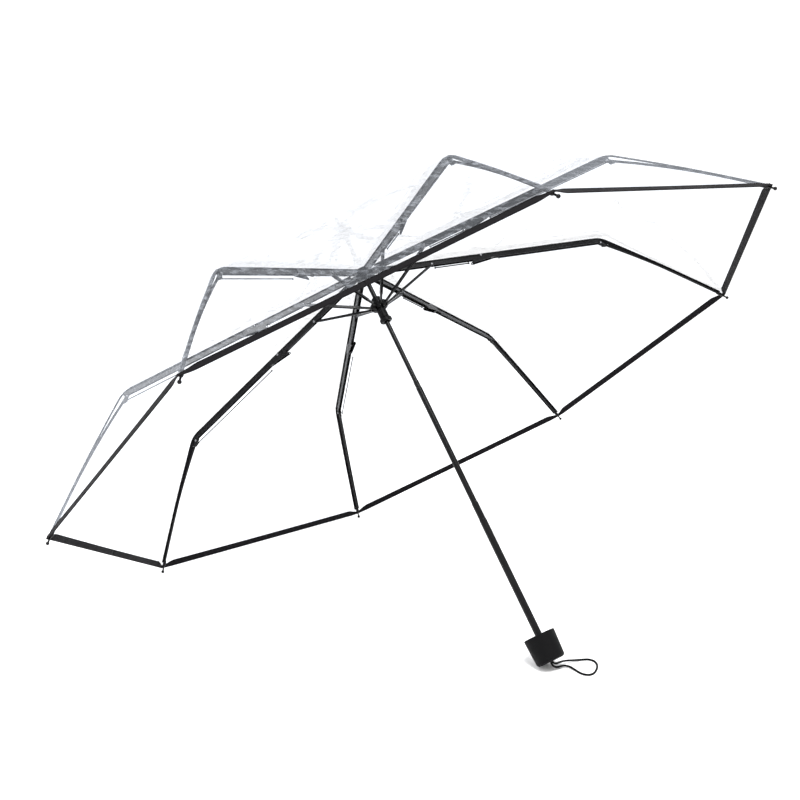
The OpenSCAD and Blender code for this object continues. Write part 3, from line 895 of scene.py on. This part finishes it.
def makeEdging():
    # a black ribbon below the film along each rib, in one piece for each rib section
    for i in range(1, arms + 1):
        for label, rib, start, end in regions:
            start, end = max(start, edging["start"]), min(end, filmLength - edging["end"])
            rows = int((end - start) / edging["rowLength"])
            line = [p - Vector((0, 0, edging["gap"])) for p in linePart(start, end, rows)]
            name = f"edging_{label}_{i}"
            work = joinStrips([stripMesh(i, line, start, rows, 1.0, tapeSatin, name, edging["columns"],
                                         edging["halfWidth"])])
            for side, word in sides.items():
                half = [f for f in work.faces if sideOf(i, f.calc_center_median()) == side]
                piece = pieceFrom(cutOut(work, half, f"{name}_{word}"), f"{name}_{word}", tapeSatin)
                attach(piece, f"{rib}_{i}_body")
                foldWith(piece, i, start, end)
                sewnOn[i, label, side].append(piece)
            work.free()
    print("rib edging sewn on")


makeEdging()
makeFilm()

rivet = {
    "radius": 0.0017,
    "height": 0.0009,
    "lockHalf": 0.0030,  # half of each stack's width
    "elbowHalf": 0.0038,
    "kneeHalf": 0.0026,
}


def rivetTree():
    t, given, out = geometryTree("rivet heads", {
        "Radius": ("Float", 0.0017), "Height": ("Float", 0.0009), "Material": ("Material", None),
    })
    g = given.outputs
    dome = t.add("GeometryNodeMeshUVSphere")
    dome.inputs["Segments"].default_value = 14
    dome.inputs["Rings"].default_value = 8
    dome.inputs["Radius"].default_value = 1.0
    size = t.add("ShaderNodeCombineXYZ")
    t.feed(size.inputs[0], g["Radius"])
    t.feed(size.inputs[1], g["Radius"])
    t.feed(size.inputs[2], g["Height"])
    face = t.add("FunctionNodeAlignRotationToVector", axis="Z")
    way = t.add("GeometryNodeInputNamedAttribute", data_type="FLOAT_VECTOR")
    way.inputs["Name"].default_value = "way"
    t.feed(face.inputs["Vector"], way.outputs[0])
    place = t.add("GeometryNodeInstanceOnPoints")
    t.feed(place.inputs["Points"], g["Geometry"])
    t.feed(place.inputs["Instance"], dome.outputs[0])
    t.feed(place.inputs["Rotation"], face.outputs[0])
    t.feed(place.inputs["Scale"], size.outputs[0])
    solid = t.add("GeometryNodeRealizeInstances")
    t.feed(solid.inputs[0], place.outputs[0])
    paint = t.add("GeometryNodeSetMaterial")
    t.feed(paint.inputs["Geometry"], solid.outputs[0])
    t.feed(paint.inputs["Material"], g["Material"])
    t.feed(out.inputs[0], paint.outputs[0])
    return t.tree


def rivetHeads(tree, spots, body, name):
    # spots are (pivot point, way across the rib, half the stack's width)
    verts, ways = [], []
    for point, across, half in spots:
        for side in (-1, 1):
            verts.append(point + across * (side * half))
            ways.append(across * side)
    mesh = bpy.data.meshes.new(name)
    mesh.from_pydata(verts, [], [])
    way = mesh.attributes.new("way", "FLOAT_VECTOR", "POINT")
    way.data.foreach_set("vector", [c for w in ways for c in w])
    piece = pieceFrom(bake(pieceFrom(mesh, "spots"), tree, {
        "Radius": rivet["radius"], "Height": rivet["height"], "Material": rivetSteel,
    }, name), name, rivetSteel)
    piece.data.shade_smooth()
    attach(piece, body)


def makeRivets():
    tree = rivetTree()
    for i in range(1, arms + 1):
        across = jointAxis(hingeNames[i - 1]).normalized()
        lock = (jointPoint(f"strut_{i}_pivot"), across, rivet["lockHalf"])
        elbow = (jointPoint(f"elbow_{i}_hinge"), across, rivet["elbowHalf"])
        knee = (jointPoint(f"knee_{i}_hinge"), across, rivet["kneeHalf"])
        rivetHeads(tree, [lock], f"top_rib_{i}_body", f"lock_rivet_{i}")
        rivetHeads(tree, [elbow, knee], f"mid_rib_{i}_body", f"pivot_rivets_{i}")
    print("rivets set")


makeRivets()

# finishes on the CAD pieces
finishes = {
    "handle": handlePlastic, "end_plug": hubPlastic, "lower_tube": tubePaint, "middle_tube": tubePaint,
    "upper_tube": tubePaint, "crown": hubPlastic, "crown_wire": wireSteel, "ferrule_cap": hubPlastic,
    "runner": hubPlastic,
}
for i in range(1, arms + 1):
    for rib in ("top_rib", "strut", "mid_rib", "outer_rib"):
        finishes[f"{rib}_{i}"] = ribPaint
    for rod in ("tie_rod", "knee_wire"):
        finishes[f"{rod}_{i}"] = rodSteel
for name, material in finishes.items():
    data = frame["nodes"][name].data
    data.materials.clear()
    data.materials.append(material)
print("frame painted")

studio = {
    "floor": (0.95, 0.95, 0.95),
    "floorHalf": 12,
    "world": 1.25,
    "lamps": [("key", (0.9, -0.5, 2.4), 0.8, 65.0),  # place, size, watts
              ("fill", (-1.8, -1.6, 1.6), 1.2, 16.0)],
    "lampAim": (0, 0, 0.25),
}


def makeStudio():
    half = studio["floorHalf"]
    corners = [(-half, -half, 0), (half, -half, 0), (half, half, 0), (-half, half, 0)]
    mesh = bpy.data.meshes.new("floor")
    mesh.from_pydata(corners, [], [(0, 1, 2, 3)])
    paper = bpy.data.materials.new("paper")
    paper.use_nodes = True
    paper.node_tree.nodes["Principled BSDF"].inputs["Base Color"].default_value = (*studio["floor"], 1)
    paper.node_tree.nodes["Principled BSDF"].inputs["Roughness"].default_value = 0.9
    paper.node_tree.nodes["Principled BSDF"].inputs["Specular IOR Level"].default_value = 0.1
    pieceFrom(mesh, "floor", paper)
    world = bpy.data.worlds.new("studio")
    world.use_nodes = True
    world.node_tree.nodes["Background"].inputs["Color"].default_value = (1, 1, 1, 1)
    world.node_tree.nodes["Background"].inputs["Strength"].default_value = studio["world"]
    bpy.context.scene.world = world
    for name, place, size, power in studio["lamps"]:
        light = bpy.data.lights.new(name, "AREA")
        light.shape, light.size, light.energy = "SQUARE", size, power
        lamp = bpy.data.objects.new(name, light)
        way = Vector(studio["lampAim"]) - Vector(place)
        lamp.matrix_world = Matrix.Translation(place) @ way.to_track_quat("-Z", "Y").to_matrix().to_4x4()
        bpy.context.scene.collection.objects.link(lamp)
    bpy.context.scene.view_settings.view_transform = "Standard"


makeStudio()
print("studio ready")
